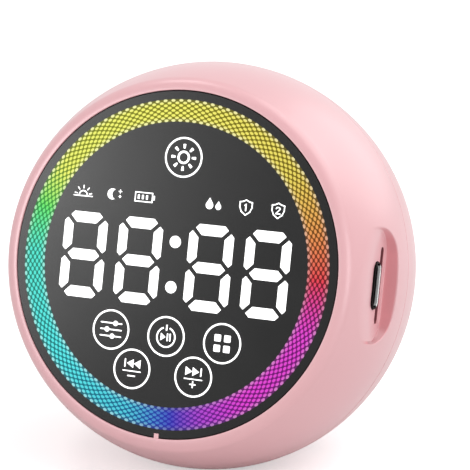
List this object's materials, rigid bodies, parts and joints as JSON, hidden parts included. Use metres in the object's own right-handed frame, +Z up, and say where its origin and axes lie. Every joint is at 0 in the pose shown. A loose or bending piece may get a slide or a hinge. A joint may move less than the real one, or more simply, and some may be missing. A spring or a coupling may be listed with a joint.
{
  "type": "digital alarm clock",
  "caption": "Ball-shaped digital alarm clock with a round display leaning back, a rainbow light ring, touch keys, side charging and card sockets, and a rear loudspeaker.",
  "frame": {"origin": "centre of the pad's underside, on the surface that the clock stands on", "axes": "+Z up, the display faces -Y and leans back by 15 degrees, +X across the display towards the charging and card sockets"},
  "size_m": [0.08, 0.0678, 0.0783],
  "materials": {
    "pink_case": "satin",
    "grey_silicone": "matte",
    "panel_smoke": "gloss",
    "black_tape": "matte",
    "milky_diffuser": "satin",
    "white_reflector": "matte",
    "led_package": "satin",
    "white_segment": "satin",
    "black_housing": "matte",
    "dark_foam": "matte",
    "board": "satin",
    "chip": "matte",
    "connector": "satin",
    "socket_steel": "satin",
    "socket_core": "matte",
    "screw_steel": "satin",
    "battery_pouch": "satin",
    "speaker_steel": "satin",
    "plate_steel": "satin",
    "ferrite": "matte",
    "coil_copper": "satin",
    "cone_paper": "matte",
    "surround_rubber": "matte",
    "spider_cloth": "matte",
    "lead_jacket": "satin"
  },
  "bodies": {
    "clock": {"battery": "battery_pouch", "battery_lead": "lead_jacket", "battery_tape": "dark_foam", "board_chips": "chip", "board_connectors": "connector", "board_header": "black_housing", "card_socket": "socket_steel", "case_screws": "screw_steel", "digit_housing": "black_housing", "digit_segments": "white_segment", "foot_pad": "grey_silicone", "front_panel": "panel_smoke", "front_shell": "pink_case", "key_leds": "led_package", "led_board": "board", "led_board_screws": "screw_steel", "legend_lights": "white_segment", "light_ring": "milky_diffuser", "light_well": "white_reflector", "main_board": "board", "main_board_screws": "screw_steel", "panel_tape": "black_tape", "rear_shell": "pink_case", "ring_leds": "led_package", "speaker_frame": "speaker_steel", "speaker_gasket": "dark_foam", "speaker_grille": "pink_case", "speaker_lead": "lead_jacket", "speaker_magnet": "ferrite", "speaker_screws": "screw_steel", "speaker_spider": "spider_cloth", "speaker_surround": "surround_rubber", "speaker_top_plate": "plate_steel", "speaker_yoke": "plate_steel", "touch_sleeves": "dark_foam", "usb_core": "socket_core", "usb_shell": "socket_steel"},
    "diaphragm": {"speaker_cone": "cone_paper", "speaker_dust_cap": "cone_paper", "speaker_coil": "coil_copper"}
  },
  "joints": [
    {"name": "cone_travel", "type": "slide", "parent": "clock", "child": "diaphragm", "axis": [0, -0.9659, 0.2588], "range_m": [-0.0008, 0.0008], "stiffness_N_per_m": 1500, "deforming": ["speaker_surround", "speaker_spider"]}
  ]
}
